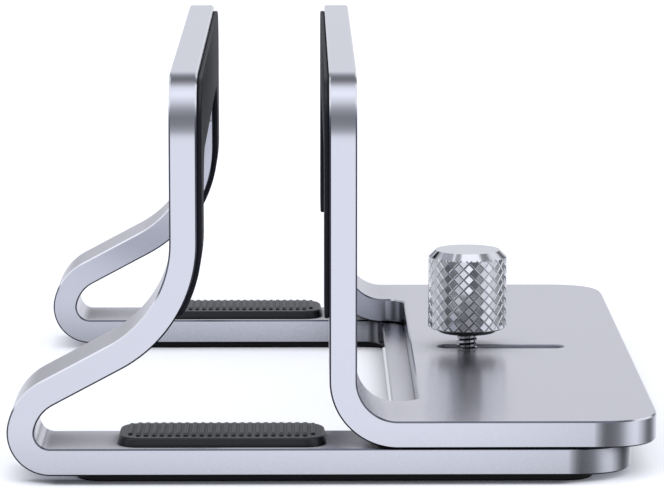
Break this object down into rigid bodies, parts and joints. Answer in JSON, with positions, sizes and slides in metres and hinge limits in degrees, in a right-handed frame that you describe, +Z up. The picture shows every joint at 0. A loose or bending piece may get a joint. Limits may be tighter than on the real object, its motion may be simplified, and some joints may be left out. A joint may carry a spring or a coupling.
{
  "type": "vertical laptop stand",
  "caption": "Folded aluminium stand that holds a closed laptop upright between a fixed and a sliding padded wall, clamped by a knurled thumb screw.",
  "frame": {"origin": "middle of the stand's outline, on the surface that it stands on", "axes": "+X from the curled end towards the screw plate, +Y to the rear along the uprights, +Z up"},
  "size_m": [0.1188, 0.151, 0.0739],
  "materials": {
    "anodised_aluminium": "bead-blasted and anodised, satin, with bright cut edges",
    "bright_steel": "turned and knurled, bright plated",
    "black_washer": "matt",
    "black_silicone": "moulded, matt"
  },
  "bodies": {
    "frame": {"base_frame": "anodised_aluminium", "left_upright_pad": "black_silicone", "front_rail_strip": "black_silicone", "rear_rail_strip": "black_silicone", "bottom_pad": "black_silicone"},
    "bracket": {"slide_bracket": "anodised_aluminium", "right_upright_pad": "black_silicone"},
    "washer": {"screw_washer": "black_washer"},
    "screw": {"thumb_screw": "bright_steel"}
  },
  "joints": [
    {"name": "bracket_slide", "type": "slide", "parent": "frame", "child": "bracket", "axis": [1, 0, 0], "range_m": [-0.0057, 0.0038]},
    {"name": "screw_turn", "type": "hinge", "parent": "washer", "child": "screw", "pos_m": [0.02733, 0, 0.0152], "axis": [0, 0, 1], "range_deg": [-1219, 4079]},
    {"name": "screw_travel", "type": "slide", "parent": "frame", "child": "washer", "axis": [0, 0, 1], "range_m": [-0.0035, 0.01125]}
  ],
  "couplings": [
    {"joint": "screw_travel", "follows": "screw_turn", "m_per_rad": 0.00014324}
  ]
}
